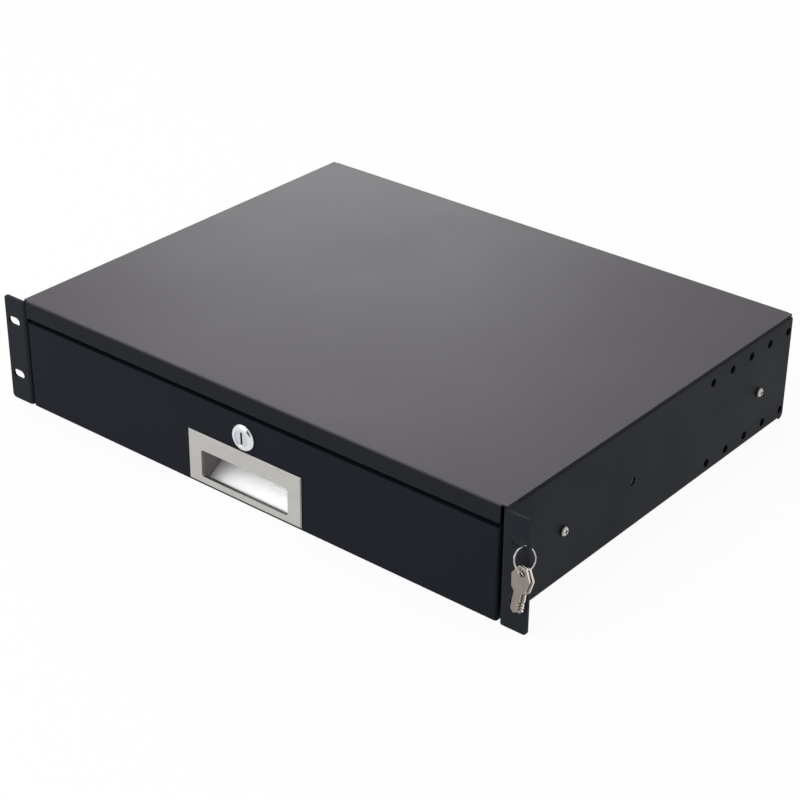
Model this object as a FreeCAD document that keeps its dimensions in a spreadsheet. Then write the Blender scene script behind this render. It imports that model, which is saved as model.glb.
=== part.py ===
import FreeCAD, Part
import math
import os
import re
import Sketcher

# Sliding rack drawer, two rack units high, as a parametric FreeCAD document.
# Millimetres. X runs along the front to the right, Y from the front to the back, Z up.
# The origin is the centre of the four rack slots, on the front face of the rack ears.

Vector = FreeCAD.Vector

# How many of each there are
BRACKET_COLUMNS = 5
BALLS_IN_ROW = 4
KEY_BITS = 3

# ---------------------------------------------------------------------------
# Driving dimensions. Each one is a cell of the sheet, named by its alias.
# ---------------------------------------------------------------------------
SIZES = {
    # rack ears
    "panel_width": 482.6,
    "panel_height": 88.0,
    "slot_inset": 8.75,
    "slot_pitch_up": 44.45,
    "slot_length": 12.0,
    "slot_width": 6.8,
    "ear_corner": 3.0,
    # case side plates
    "ear_reach": 20.0,
    "case_depth": 350.0,
    "side_wall": 2.0,
    "side_bend": 1.0,
    "side_return": 12.0,
    "ear_web": 6.0,
    "return_start": 14.0,
    "rear_corner": 4.5,
    # holes in the side plates
    "bracket_hole": 6.5,
    "bracket_inset": 4.8,
    "bracket_pitch": 25.65,
    "bracket_row_pitch": 65.0,
    "bracket_row_middle": -2.8,
    "driver_hole": 6.5,
    # top cover with its header and rear wall
    "cover_wall": 1.5,
    "cover_bend": 0.5,
    "cover_drop": 0.8,
    "header_height": 13.3,
    "end_gap": 1.8,
    "rear_gap": 0.1,
    "rear_lift": 2.0,
    # lock strike under the cover
    "strike_width": 24.0,
    "strike_reach": 7.0,
    "strike_height": 11.0,
    "strike_play": 0.8,
    # telescopic slides
    "slide_axis": -5.3,
    "slide_height": 45.0,
    "slide_thickness": 12.7,
    "slide_start": 28.0,
    "slide_rear_gap": 24.0,
    "cabinet_member_extra": 10.0,
    "member_wall": 1.0,
    "member_gap": 1.1,
    "lip": 0.3,
    "ball_radius": 1.6,
    "race_play": 0.05,
    "outer_race_depth": 5.2,
    "race_spacing": 3.6,
    "cage_wall": 0.5,
    "cage_start": 82.0,
    "cage_length": 130.0,
    "cage_edge": 2.5,
    "cage_hole_play": 0.3,
    "ball_pitch": 36.0,
    "bumper_length": 8.0,
    "bumper_height": 18.0,
    "bumper_depth": 7.0,
    "bumper_gap": 0.3,
    "bumper_round": 1.75,
    # slide screws
    "screw_radius": 1.95,
    "screw_hole_play": 0.05,
    "screw_clearance": 0.25,
    "screw_head_radius": 3.7,
    "screw_head_height": 2.6,
    "front_screw_place": 65.0,
    "rear_screw_inset": 41.0,
    "middle_screw_place": 145.4,
    "end_screw_inset": 36.0,
    "screw_end_play": 0.1,
    "tray_screw_tip": 0.5,
    "access_hole": 9.0,
    # slide release lever
    "lever_place": 190.0,
    "lever_front": 17.6,
    "lever_rear": 26.4,
    "lever_tab": 2.8,
    "lever_thickness": 2.0,
    "lever_height": 7.0,
    "lever_depth": 6.4,
    "rivet_radius": 1.5,
    "rivet_head": 0.6,
    "pivot_play": 0.08,
    "lever_play": 0.1,
    # drawer tray
    "tray_wall": 1.2,
    "tray_bend": 0.8,
    "tray_start": 12.0,
    "tray_rear_gap": 14.0,
    "tray_lift": 1.6,
    "tray_drop": 4.4,
    "tray_hem": 8.0,
    "tab_width": 16.0,
    # drawer front
    "front_wall": 1.5,
    "front_bend": 0.5,
    "front_gap": 3.9,
    "front_lift": 0.6,
    "front_return": 27.0,
    "front_screw_inset": 7.0,
    "front_screw_pitch": 44.0,
    # flush handle
    "bezel_width": 105.5,
    "bezel_gap": 1.7,
    "bezel_lift": 1.7,
    "bezel_proud": 1.2,
    "bezel_bevel": 0.7,
    "window_width": 81.0,
    "window_lift": 5.6,
    "window_drop": 12.9,
    "window_corner": 2.0,
    "collar_wall": 0.8,
    "collar_play": 0.15,
    "cup_wall": 0.8,
    "cup_depth": 26.0,
    "cup_lift": 0.2,
    "cup_floor_end": 7.2,
    "cup_slope": 35.6,
    "cup_flange": 9.0,
    "cup_roof": 1.5,
    "cup_radius": 3.5,
    "stud_radius": 1.45,
    "stud_play": 0.15,
    "stud_inset": 6.2,
    "stud_lift": 5.35,
    "stud_drop": 12.65,
    "nut_across": 5.5,
    "nut_height": 2.4,
    # cam lock
    "lock_drop": 16.0,
    "lock_head_radius": 10.0,
    "lock_head_height": 2.7,
    "lock_face_radius": 7.8,
    "lock_rim": 0.945,
    "lock_dome": 4.0,
    "lock_body_radius": 8.0,
    "lock_body_length": 19.0,
    "lock_flat": 14.0,
    "plug_face_radius": 6.0,
    "plug_face_depth": 1.6,
    "plug_radius": 5.4,
    "plug_play": 0.06,
    "plug_sink": 0.4,
    "keyway_height": 9.4,
    "keyway_width": 2.0,
    "keyway_depth": 15.0,
    "keyway_ward": 0.2,
    "keyway_step": 0.94,
    "lock_nut_across": 21.0,
    "lock_nut_height": 3.0,
    "tail_width": 6.0,
    "cam_play": 0.5,
    "cam_thickness": 2.0,
    "cam_width": 14.0,
    "cam_length": 27.0,
    "cam_screw_head": 4.5,
    "cam_screw_head_height": 2.4,
    "cam_screw_radius": 2.0,
    "cam_screw_depth": 6.0,
    "cam_screw_play": 1.2,
    # keys on their ring
    "ring_radius": 8.0,
    "ring_wire": 0.6,
    "ring_beside": 6.22,
    "ring_out": -1.68,
    "ring_drop": 8.435,
    "ring_turn": 73.4,
    "ring_tilt": 20.7,
    "front_key_place": 27.0,
    "front_key_swing": 9.0,
    "rear_key_place": 8.0,
    "rear_key_swing": 6.5,
    "key_length": 36.0,
    "key_thickness": 1.8,
    "key_hole_radius": 2.8,
    "key_hole_edge": 1.8,
    "key_hang": 1.95,
    "bow_width": 14.0,
    "bow_height": 20.0,
    "bow_top": 6.0,
    "bow_shoulder": 8.0,
    "bow_foot": 10.5,
    "bow_foot_rise": 2.5,
    "blade_width": 5.6,
    "blade_tip": 1.2,
    "blade_point": 2.2,
    "bit_pitch": 2.4,
    "bit_depth": 1.3,
}

# Lengths that follow from the driving ones. Each is an expression in the same names.
DERIVED = {
    "panel_top": "panel_height / 2",
    "panel_bottom": "-panel_height / 2",
    "ear_half": "panel_width / 2",
    "panel_slot": "ear_half - slot_inset",
    "slot_reach": "(slot_length - slot_width) / 2",
    "case_half": "ear_half - ear_reach",
    "inner_half": "case_half - side_wall",
    "cover_top": "panel_top - cover_drop",
    "cover_under": "cover_top - cover_wall",
    "front_half": "inner_half - end_gap",
    "return_end": "case_depth - rear_corner",
    "header_bottom": "cover_top - header_height",
    "front_bottom": "panel_bottom + front_lift",
    "front_top": "header_bottom - front_gap",
    "bracket_first": f"case_depth - bracket_inset - {BRACKET_COLUMNS - 1} * bracket_pitch",
    "rear_screw_place": "case_depth - rear_screw_inset",
    "tray_end": "case_depth - tray_rear_gap",
    "tray_half": "inner_half - slide_thickness",
    "tray_bottom": "panel_bottom + tray_lift",
    "tray_top": "front_top - tray_drop",
    "member_end": "case_depth - slide_rear_gap",
    "cabinet_end": "member_end + cabinet_member_extra",
    "race_radius": "ball_radius + race_play",
    "race_rise": "race_radius * sqrt(0.5)",
    "back_radius": "race_radius + member_wall",
    "back_half": "sqrt(back_radius ^ 2 - (race_rise + member_wall) ^ 2)",
    "outer_row": "slide_height / 2 - back_radius",
    "inner_row": "outer_row - 2 * race_rise - member_wall",
    "inner_race_depth": "outer_race_depth + race_spacing",
    "upper_shoulder": "outer_row - race_rise",
    "lower_shoulder": "inner_row + race_rise",
    "middle_depth": "member_wall + member_gap",
    "outer_cage_depth": "member_wall + (member_gap - cage_wall) / 2",
    "inner_cage_depth": "middle_depth + member_wall + (member_gap - cage_wall) / 2",
    "drawer_member_depth": "slide_thickness - member_wall",
    "cage_back": "slide_start + cage_start",
    "lock_place": "front_top - lock_drop",
    "bezel_bottom": "front_bottom + bezel_lift",
    "bezel_top": "lock_place - lock_head_radius - bezel_gap",
    "window_bottom": "bezel_bottom + window_lift",
    "window_top": "bezel_top - window_drop",
    "window_half": "window_width / 2",
    "cup_half": "window_half + collar_wall",
    "cup_low": "front_bottom + front_wall + cup_wall + cup_lift",
    "cup_high": "window_top + cup_roof",
    "cup_rise": "(cup_depth - cup_floor_end) * tan(cup_slope * 1deg)",
    "cam_front": "lock_body_length + cam_play",
    "cam_back": "cam_front + cam_thickness",
    "strike_front": "cam_front - strike_play - cover_wall",
    "ring_across": "panel_slot + ring_beside",
    "ring_up": "slot_pitch_up / 2 - ring_drop",
}


def full(expression):
    """Spell an expression out in the cells of the sheet."""
    def spell(match):
        word = match.group(0)
        if word in DERIVED:
            return "(" + full(DERIVED[word]) + ")"
        return "sizes." + word if word in SIZES else word
    return re.sub(r"[a-z_]+", spell, str(expression))


def number(expression):
    """Value of an expression with the sheet as it stands."""
    return float(sheet.evalExpression(full(expression)))


def bind(thing, place, expression):
    """Tie a property of a feature to the sheet."""
    thing.setExpression(place, full(expression))


doc = FreeCAD.newDocument("sliding_rack_drawer")
sheet = doc.addObject("Spreadsheet::Sheet", "sizes")
for row, (alias, value) in enumerate(SIZES.items(), start=1):
    sheet.set(f"A{row}", alias)
    sheet.set(f"B{row}", str(value))
    sheet.setAlias(f"B{row}", alias)
doc.recompute()

pieces = []


# ---------------------------------------------------------------------------
# Drawing and cutting
# ---------------------------------------------------------------------------
def new_body(label):
    """An empty body that becomes one piece of the drawer."""
    body = doc.addObject("PartDesign::Body", label)
    body.Label = label
    pieces.append(body)
    return body


def origin_feature(body, role):
    return next(part for part in body.Origin.OriginFeatures if part.Role == role)


def new_sketch(body, name, plane, level):
    """A sketch on one of the body's own origin planes, moved to a level along the world axis."""
    sketch = body.newObject("Sketcher::SketchObject", name)
    sketch.AttachmentSupport = [(origin_feature(body, plane + "_Plane"), "")]
    sketch.MapMode = "FlatFace"
    facing = "-1 * " if plane == "XZ" else ""
    bind(sketch, "AttachmentOffset.Base.z", f"{facing}({level})")
    return sketch


def arc_between(start, stop, radius, turn):
    """Arc from start to stop, turning left (1) or right (-1)."""
    chord = stop - start
    rise = math.sqrt(max(radius ** 2 - (chord.Length / 2) ** 2, 0))
    left = Vector(-chord.y, chord.x, 0).normalize()
    centre = (start + stop) / 2 + left * rise * turn
    first, last = (start, stop) if turn > 0 else (stop, start)
    angles = [math.atan2(end.y - centre.y, end.x - centre.x) for end in (first, last)]
    return Part.ArcOfCircle(Part.Circle(centre, Vector(0, 0, 1), radius), *angles)


def outline(body, name, plane, level, corners, arcs=None):
    """A closed outline. Every corner is tied to the sheet, and arcs maps an edge to (radius, turn)."""
    arcs = arcs or {}
    sketch = new_sketch(body, name, plane, level)
    places = [Vector(number(across), number(up), 0) for across, up in corners]
    ends = []
    curves = []
    for index, start in enumerate(places):
        stop = places[(index + 1) % len(places)]
        radius, turn = arcs.get(index, (None, 1))
        ends.append((1, 2) if turn > 0 else (2, 1))
        if radius is None:
            curves.append(Part.LineSegment(start, stop))
        else:
            curves.append(arc_between(start, stop, number(radius), turn))
    sketch.addGeometry(curves, False)
    rules = []
    ties = []
    for index, corner in enumerate(corners):
        start = ends[index][0]
        before = (index - 1) % len(corners)
        rules.append(Sketcher.Constraint("Coincident", before, ends[before][1], index, start))
        rules.append(Sketcher.Constraint("DistanceX", -1, 1, index, start, places[index].x))
        rules.append(Sketcher.Constraint("DistanceY", -1, 1, index, start, places[index].y))
        ties.append((3 * index + 1, corner[0]))
        ties.append((3 * index + 2, corner[1]))
    for index, (radius, turn) in arcs.items():
        chord = places[(index + 1) % len(places)] - places[index]
        half_round = abs(chord.Length - 2 * number(radius)) < 1e-6
        if half_round and abs(chord.x) < abs(chord.y):
            ties.append((len(rules), corners[index][0]))
            rules.append(Sketcher.Constraint("DistanceX", -1, 1, index, 3, places[index].x))
        elif half_round:
            ties.append((len(rules), corners[index][1]))
            rules.append(Sketcher.Constraint("DistanceY", -1, 1, index, 3, places[index].y))
        else:
            ties.append((len(rules), radius))
            rules.append(Sketcher.Constraint("Radius", index, number(radius)))
    sketch.addConstraint(rules)
    for index, expression in ties:
        bind(sketch, f"Constraints[{index}]", expression)
    return sketch


def circles(body, name, plane, level, centres, radius):
    """One circle of the same radius round each centre."""
    sketch = new_sketch(body, name, plane, level)
    for index, (across, up) in enumerate(centres):
        centre = Vector(number(across), number(up), 0)
        sketch.addGeometry(Part.Circle(centre, Vector(0, 0, 1), number(radius)), False)
        sketch.addConstraint([
            Sketcher.Constraint("DistanceX", -1, 1, index, 3, centre.x),
            Sketcher.Constraint("DistanceY", -1, 1, index, 3, centre.y),
            Sketcher.Constraint("Radius", index, number(radius)),
        ])
        for offset, expression in enumerate((across, up, radius)):
            bind(sketch, f"Constraints[{3 * index + offset}]", expression)
    return sketch


def rectangle(left, low, right, high):
    return [(left, low), (right, low), (right, high), (left, high)]


def add(body, name, plane, low, high, draw, *shape):
    """Pad an outline from low to high along the axis that the plane faces."""
    level = high if plane == "XZ" else low
    feature = body.newObject("PartDesign::Pad", name)
    feature.Profile = draw(body, name + "_sketch", plane, level, *shape)
    bind(feature, "Length", f"({high}) - ({low})")
    doc.recompute()
    return feature


def cut(body, name, plane, low, high, draw, *shape):
    """Pocket an outline from low to high, and make sure that it removes something."""
    before = body.Shape.Volume
    level = low if plane == "XZ" else high
    feature = body.newObject("PartDesign::Pocket", name)
    feature.Profile = draw(body, name + "_sketch", plane, level, *shape)
    bind(feature, "Length", f"({high}) - ({low})")
    doc.recompute()
    if body.Shape.Volume >= before:
        raise RuntimeError(f"{body.Label}: {name} cuts nothing")
    return feature


def turn_round(body, name, corners, arcs=None):
    """Revolve an outline of (radius, place along Y) round the body's Y axis."""
    feature = body.newObject("PartDesign::Revolution", name)
    feature.Profile = outline(body, name + "_sketch", "XY", "0", corners, arcs)
    feature.ReferenceAxis = (origin_feature(body, "Y_Axis"), [""])
    feature.Angle = 360
    doc.recompute()
    return feature


def edges_along(body, axis, spots):
    """Straight edges parallel to an axis (0, 1 or 2) through spots in the other two axes."""
    others = [index for index in range(3) if index != axis]
    wanted = [[number(value) for value in spot] for spot in spots]
    names = []
    for index, edge in enumerate(body.Shape.Edges, start=1):
        if edge.Curve.TypeId != "Part::GeomLine":
            continue
        start, stop = edge.Vertexes[0].Point, edge.Vertexes[-1].Point
        here = [start[other] for other in others]
        level = all(abs(start[other] - stop[other]) < 1e-4 for other in others)
        if level and any(math.dist(here, spot) < 1e-3 for spot in wanted):
            names.append(f"Edge{index}")
    if not names:
        raise RuntimeError(f"{body.Label}: no edge at {spots}")
    return names


def soften(body, kind, name, size, names):
    """Fillet or chamfer the named edges of the body as it stands."""
    base = body.Tip
    feature = body.newObject("PartDesign::" + kind, name)
    feature.Base = (base, names)
    bind(feature, "Radius" if kind == "Fillet" else "Size", size)
    doc.recompute()
    return feature


def moved(corner, *steps):
    """A corner moved by steps of (direction, distance)."""
    across, up = corner
    for (right, rise), distance in steps:
        if right:
            across = f"{across} + ({right}) * ({distance})"
        if rise:
            up = f"{up} + ({rise}) * ({distance})"
    return across, up


def folded(points, wall, bend):
    """Outline of a folded sheet. The points follow its outside face, with the sheet on their left."""
    places = [(number(across), number(up)) for across, up in points]
    legs = []
    for (left, low), (right, high) in zip(places, places[1:]):
        length = math.dist((left, low), (right, high))
        legs.append((round((right - left) / length), round((high - low) / length)))
    sides = [(-rise, right) for right, rise in legs]
    wide = f"{bend} + {wall}"
    outside, inside = [points[0]], [moved(points[0], (sides[0], wall))]
    bends = []
    for index in range(1, len(legs)):
        came, goes = legs[index - 1], legs[index]
        back = (-came[0], -came[1])
        turn = 1 if came[0] * goes[1] - came[1] * goes[0] > 0 else -1
        near, far = (wide, bend) if turn > 0 else (bend, wide)
        corner = points[index]
        hidden = moved(corner, (sides[index - 1], wall), (sides[index], wall))
        bends.append((len(outside), near, far, turn))
        outside += [moved(corner, (back, near)), moved(corner, (goes, near))]
        inside += [moved(hidden, (back, far)), moved(hidden, (goes, far))]
    outside.append(points[-1])
    inside.append(moved(points[-1], (sides[-1], wall)))
    corners = outside + inside[::-1]
    arcs = {}
    for index, near, far, turn in bends:
        arcs[index] = (near, turn)
        arcs[len(corners) - 2 - index] = (far, -turn)
    return corners, arcs


def hexagon(across, middle_up="0"):
    """Corners of a hexagon with the given width across its flats."""
    reach = f"{across} / sqrt(3)"
    return [(f"{reach} * cos({60 * step} * 1deg)", f"{middle_up} + {reach} * sin({60 * step} * 1deg)")
            for step in range(6)]


def mirrored(source, label):
    """The same piece on the other side of the drawer."""
    mirror = doc.addObject("Part::Mirroring", label)
    mirror.Source = source
    mirror.Normal = Vector(1, 0, 0)
    mirror.Label = label
    pieces.append(mirror)
    return mirror


def both_sides(source, name):
    """Name the right piece and add the left one."""
    source.Label = name + "_right"
    mirrored(source, name + "_left")


def group(label, source, spots, angle=0):
    """Identical pieces in one node: copies of the source, turned about Z, at their spots."""
    copies = []
    for index, spot in enumerate(spots):
        copy = doc.addObject("App::Link", f"{label}_{index}")
        copy.LinkedObject = source
        copy.Placement = FreeCAD.Placement(Vector(), FreeCAD.Rotation(Vector(0, 0, 1), angle))
        for axis, expression in zip("xyz", spot):
            bind(copy, f"Placement.Base.{axis}", expression)
        copies.append(copy)
    compound = doc.addObject("Part::Compound", label)
    compound.Links = copies
    compound.Label = label
    pieces.append(compound)
    return compound


# A pan head: shares of its radius for the flat top and the round shoulder, and of its height for the
# straight rim, then shares for how far the cross reaches, half its arm's width and the floor under it
HEAD_FLAT, HEAD_ROUND, HEAD_RIM = 0.6, 0.75, 0.4
CROSS_REACH, CROSS_HALF, CROSS_FLOOR = 0.5, 0.13, 0.45


def pan_screw(name, head_radius, head_height, shank_radius, shank_length):
    """A pan head screw along Y, its head below zero, with a cross recess."""
    body = doc.addObject("PartDesign::Body", name)
    turn_round(body, "turned", [
        ("0", f"-1 * ({head_height})"),
        (f"{HEAD_FLAT} * ({head_radius})", f"-1 * ({head_height})"),
        (head_radius, f"-{HEAD_RIM} * ({head_height})"),
        (head_radius, "0"),
        (shank_radius, "0"),
        (shank_radius, shank_length),
        ("0", shank_length),
    ], {1: (f"{HEAD_ROUND} * ({head_radius})", 1)})
    arm, width = f"{CROSS_REACH} * ({head_radius})", f"{CROSS_HALF} * ({head_radius})"
    cross = []
    for right, rise in ((1, 0), (0, 1), (-1, 0), (0, -1)):
        tip = moved(("0", "0"), ((right, rise), arm))
        cross.append(moved(tip, ((rise, -right), width)))
        cross.append(moved(tip, ((-rise, right), width)))
        cross.append(moved(("0", "0"), ((right, rise), width), ((-rise, right), width)))
    cut(body, "recess", "XZ", f"-1 * ({head_height})", f"-{CROSS_FLOOR} * ({head_height})", outline, cross)
    return body


# ---------------------------------------------------------------------------
# Case: two side plates with folded rack ears, and the cover welded between them
# ---------------------------------------------------------------------------
def make_side_plate():
    body = new_body("side_plate")
    ear, ear_arcs = folded([
        ("inner_half", "ear_web"),
        ("inner_half", "0"),
        ("ear_half", "0"),
    ], "side_wall", "side_bend")
    add(body, "ear", "XY", "panel_bottom", "cover_under", outline, ear, ear_arcs)
    add(body, "neck", "YZ", "inner_half", "case_half", outline,
        rectangle("ear_web", "panel_bottom", "return_start", "cover_under"))
    channel, channel_arcs = folded([
        ("case_half - side_return", "panel_bottom"),
        ("case_half", "panel_bottom"),
        ("case_half", "cover_under"),
        ("case_half - side_return", "cover_under"),
    ], "side_wall", "side_bend")
    add(body, "channel", "XZ", "return_start", "return_end", outline, channel, channel_arcs)
    add(body, "rear_edge", "YZ", "inner_half", "case_half", outline, [
        ("return_end", "panel_bottom"),
        ("case_depth", "panel_bottom + rear_corner"),
        ("case_depth", "cover_under - rear_corner"),
        ("return_end", "cover_under"),
    ], {0: ("rear_corner", 1), 2: ("rear_corner", 1)})
    corners = edges_along(body, 1, [("ear_half", "panel_bottom"), ("ear_half", "cover_under")])
    soften(body, "Fillet", "ear_corners", "ear_corner", corners)
    left, right = "(panel_slot - slot_reach)", "(panel_slot + slot_reach)"
    for name, sign in (("upper_slot", ""), ("lower_slot", "-1 * ")):
        row = f"{sign}slot_pitch_up / 2"
        low, high = f"{row} - slot_width / 2", f"{row} + slot_width / 2"
        cut(body, name, "XZ", "0", "side_wall", outline, rectangle(left, low, right, high),
            {1: ("slot_width / 2", 1), 3: ("slot_width / 2", 1)})
    screws = [("front_screw_place", "slide_axis"), ("rear_screw_place", "slide_axis")]
    cut(body, "slide_screw_holes", "YZ", "inner_half", "case_half", circles, screws,
        "screw_radius + screw_clearance")
    rows = ("bracket_row_middle + bracket_row_pitch / 2", "bracket_row_middle - bracket_row_pitch / 2")
    holes = cut(body, "bracket_holes", "YZ", "inner_half", "case_half", circles,
                [("bracket_first", row) for row in rows], "bracket_hole / 2")
    pattern = body.newObject("PartDesign::LinearPattern", "bracket_columns")
    pattern.Originals = [holes]
    pattern.Direction = (origin_feature(body, "Y_Axis"), [""])
    pattern.Occurrences = BRACKET_COLUMNS
    bind(pattern, "Length", f"bracket_pitch * {BRACKET_COLUMNS - 1}")
    body.Tip = pattern
    doc.recompute()
    cut(body, "driver_hole", "YZ", "inner_half", "case_half", circles,
        [("middle_screw_place", "slide_axis")], "driver_hole / 2")
    both_sides(body, "side_plate")


def make_top_cover():
    body = new_body("top_cover")
    section, arcs = folded([
        ("0", "header_bottom"),
        ("0", "cover_top"),
        ("case_depth", "cover_top"),
        ("case_depth", "cover_top - header_height"),
    ][::-1], "cover_wall", "cover_bend")
    add(body, "sheet", "YZ", "-front_half", "front_half", outline, section, arcs)
    fold = "(cover_wall + cover_bend)"
    add(body, "wings", "XY", "cover_under", "cover_top", outline,
        rectangle("-case_half", fold, "case_half", f"case_depth - {fold}"))
    add(body, "rear_wall", "XZ", "case_depth - cover_wall", "case_depth", outline,
        rectangle("rear_gap - inner_half", "panel_bottom + rear_lift",
                  "inner_half - rear_gap", "cover_top - rear_corner"))


def make_lock_strike():
    body = new_body("lock_strike")
    section, arcs = folded([
        ("strike_front + cover_wall", "cover_under - strike_height"),
        ("strike_front + cover_wall", "cover_under"),
        ("strike_front - strike_reach", "cover_under"),
    ], "cover_wall", "cover_bend")
    add(body, "angle", "YZ", "-strike_width / 2", "strike_width / 2", outline, section, arcs)


# ---------------------------------------------------------------------------
# Telescopic slides. Depths run from the side plate's inner face towards the drawer,
# heights from the slide's axis. Each ball runs between two grooves of 90 degrees.
# ---------------------------------------------------------------------------
def slide_corner(depth, height):
    return f"inner_half - ({depth})", f"slide_axis + ({height})"


def slide_outline(steps):
    """Mirror the upper half of a section about the slide's axis. A step is (depth, height, radius, turn),
    where radius and turn describe the edge to the next step."""
    corners = []
    arcs = {}
    lower = []
    for index, (depth, height, radius, turn) in enumerate(steps):
        corners.append(slide_corner(depth, height))
        if radius:
            arcs[index] = (radius, turn)
    for index in range(len(steps) - 1, -1, -1):
        depth, height = steps[index][:2]
        lower.append(slide_corner(depth, f"-1 * ({height})"))
        radius, turn = steps[index - 1][2:] if index else (None, None)
        if radius:
            arcs[len(corners) + len(lower) - 1] = (radius, turn)
    return corners + lower, arcs


def add_member(name, start, end, steps):
    """A rolled slide member between two places along Y."""
    body = new_body(name)
    add(body, "section", "XZ", start, end, outline, *slide_outline(steps))
    return body


def make_cabinet_member():
    top, under = "outer_row + race_rise + member_wall", "outer_row + race_rise"
    edge = "outer_race_depth + back_half + lip"
    body = add_member("slide_cabinet_member", "slide_start", "cabinet_end", [
        ("0", top, None, None),
        ("outer_race_depth - back_half", top, "back_radius", 1),
        ("outer_race_depth + back_half", top, None, None),
        (edge, top, None, None),
        (edge, under, None, None),
        ("outer_race_depth + race_rise", under, "race_radius", -1),
        ("outer_race_depth - race_rise", under, None, None),
        ("member_wall", under, None, None),
    ])
    spots = [(place, "slide_axis") for place in ("front_screw_place", "rear_screw_place")]
    cut(body, "tapped_holes", "YZ", "inner_half - member_wall", "inner_half", circles, spots,
        "screw_radius + screw_hole_play")
    cut(body, "access_hole", "YZ", "inner_half - member_wall", "inner_half", circles,
        [("middle_screw_place", "slide_axis")], "access_hole / 2")
    both_sides(body, "slide_cabinet_member")


def make_middle_member():
    edge = "inner_race_depth + back_half + lip"
    body = add_member("slide_middle_member", "slide_start", "member_end", [
        ("middle_depth", "upper_shoulder", None, None),
        ("outer_race_depth - race_rise", "upper_shoulder", "race_radius", -1),
        ("outer_race_depth + race_rise", "upper_shoulder", None, None),
        ("inner_race_depth - back_half", "upper_shoulder", "back_radius", 1),
        ("inner_race_depth + back_half", "upper_shoulder", None, None),
        (edge, "upper_shoulder", None, None),
        (edge, "lower_shoulder", None, None),
        ("inner_race_depth + race_rise", "lower_shoulder", "race_radius", -1),
        ("inner_race_depth - race_rise", "lower_shoulder", None, None),
        ("outer_race_depth + back_half", "lower_shoulder", "back_radius", 1),
        ("outer_race_depth - back_half", "lower_shoulder", None, None),
        ("middle_depth + member_wall", "lower_shoulder", None, None),
    ])
    places = ("front_screw_place", "middle_screw_place", "rear_screw_place")
    spots = [(place, "slide_axis") for place in places]
    cut(body, "access_holes", "YZ", "inner_half - middle_depth - member_wall", "inner_half - middle_depth",
        circles, spots, "access_hole / 2")
    both_sides(body, "slide_middle_member")


DRAWER_SCREW_PLACES = ("front_screw_place", "middle_screw_place", "member_end - end_screw_inset")


def make_drawer_member():
    top, under = "inner_row - race_rise", "inner_row - race_rise - member_wall"
    edge = "inner_race_depth - back_half - lip"
    body = add_member("slide_drawer_member", "slide_start", "member_end", [
        ("slide_thickness", top, None, None),
        ("inner_race_depth + race_rise", top, "race_radius", 1),
        ("inner_race_depth - race_rise", top, None, None),
        (edge, top, None, None),
        (edge, under, None, None),
        ("inner_race_depth - back_half", under, "back_radius", -1),
        ("inner_race_depth + back_half", under, None, None),
        ("drawer_member_depth", under, None, None),
    ])
    cut(body, "tapped_holes", "YZ", "tray_half", "tray_half + member_wall", circles,
        [(place, "slide_axis") for place in DRAWER_SCREW_PLACES], "screw_radius + screw_hole_play")
    both_sides(body, "slide_drawer_member")


def ball_places():
    """Places along Y of the balls in one row of a cage."""
    middle = (BALLS_IN_ROW - 1) / 2
    return [f"cage_back + cage_length / 2 + ({index - middle}) * ball_pitch" for index in range(BALLS_IN_ROW)]


def make_cage(name, web, row_depth, row):
    """A ball cage with its two rows of balls."""
    edge = f"{row_depth} + ball_radius + cage_edge / 2"
    top, under = f"{row} + cage_wall / 2", f"{row} - cage_wall / 2"
    cage = add_member(f"slide_{name}_cage", "cage_back", "cage_back + cage_length", [
        (web, top, None, None),
        (edge, top, None, None),
        (edge, under, None, None),
        (f"{web} + cage_wall", under, None, None),
    ])
    cut(cage, "ball_holes", "XY", "slide_axis - slide_height / 2", "slide_axis + slide_height / 2", circles,
        [(f"inner_half - ({row_depth})", place) for place in ball_places()], "ball_radius + cage_hole_play")
    both_sides(cage, f"slide_{name}_cage")
    spots = [(f"inner_half - ({row_depth})", place, f"slide_axis + ({sign}) * ({row})")
             for sign in (1, -1) for place in ball_places()]
    both_sides(group(f"slide_{name}_balls", ball, spots), f"slide_{name}_balls")


def make_bumper():
    body = new_body("slide_bumper")
    add(body, "block", "XZ", "member_end + bumper_gap", "member_end + bumper_length", outline,
        rectangle("inner_half - member_wall - bumper_depth", "slide_axis - bumper_height / 2",
                  "inner_half - member_wall", "slide_axis + bumper_height / 2"))
    corners = edges_along(body, 1, [("inner_half - member_wall - bumper_depth",
                                     f"slide_axis + ({sign}) * bumper_height / 2") for sign in (1, -1)])
    soften(body, "Fillet", "rounded", "bumper_round", corners)
    both_sides(body, "slide_bumper")


def make_release_lever():
    """The flat latch lever inside the drawer member, and the rivet that it turns on."""
    near, far = "inner_half - lever_depth - lever_thickness", "inner_half - lever_depth"
    pivot = [("lever_place", "slide_axis")]
    lever = new_body("release_lever")
    front, rear = "lever_place - lever_front", "lever_place + lever_rear"
    low, high = "slide_axis - lever_height / 2", "slide_axis + lever_height / 2"
    add(lever, "bar", "YZ", near, far, outline, [
        (front, low),
        (rear, low),
        (f"{rear} + lever_tab", f"{low} - lever_tab"),
        (f"{rear} + 3 * lever_tab", f"{low} - lever_tab"),
        (f"{rear} + 3 * lever_tab", f"{low} + lever_tab"),
        (f"{rear} + lever_tab", high),
        (front, high),
    ], {6: ("lever_height / 2", 1)})
    cut(lever, "bore", "YZ", near, far, circles, pivot, "rivet_radius + pivot_play")
    both_sides(lever, "release_lever")
    rivet = new_body("lever_rivet")
    add(rivet, "collar", "YZ", "tray_half + member_wall", f"{near} - lever_play", circles, pivot,
        "rivet_radius + rivet_head")
    add(rivet, "pin", "YZ", f"{near} - lever_play", f"{far} + lever_play", circles, pivot, "rivet_radius")
    add(rivet, "head", "YZ", f"{far} + lever_play", f"{far} + lever_play + rivet_head", circles, pivot,
        "rivet_radius + rivet_head")
    both_sides(rivet, "lever_rivet")


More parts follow.
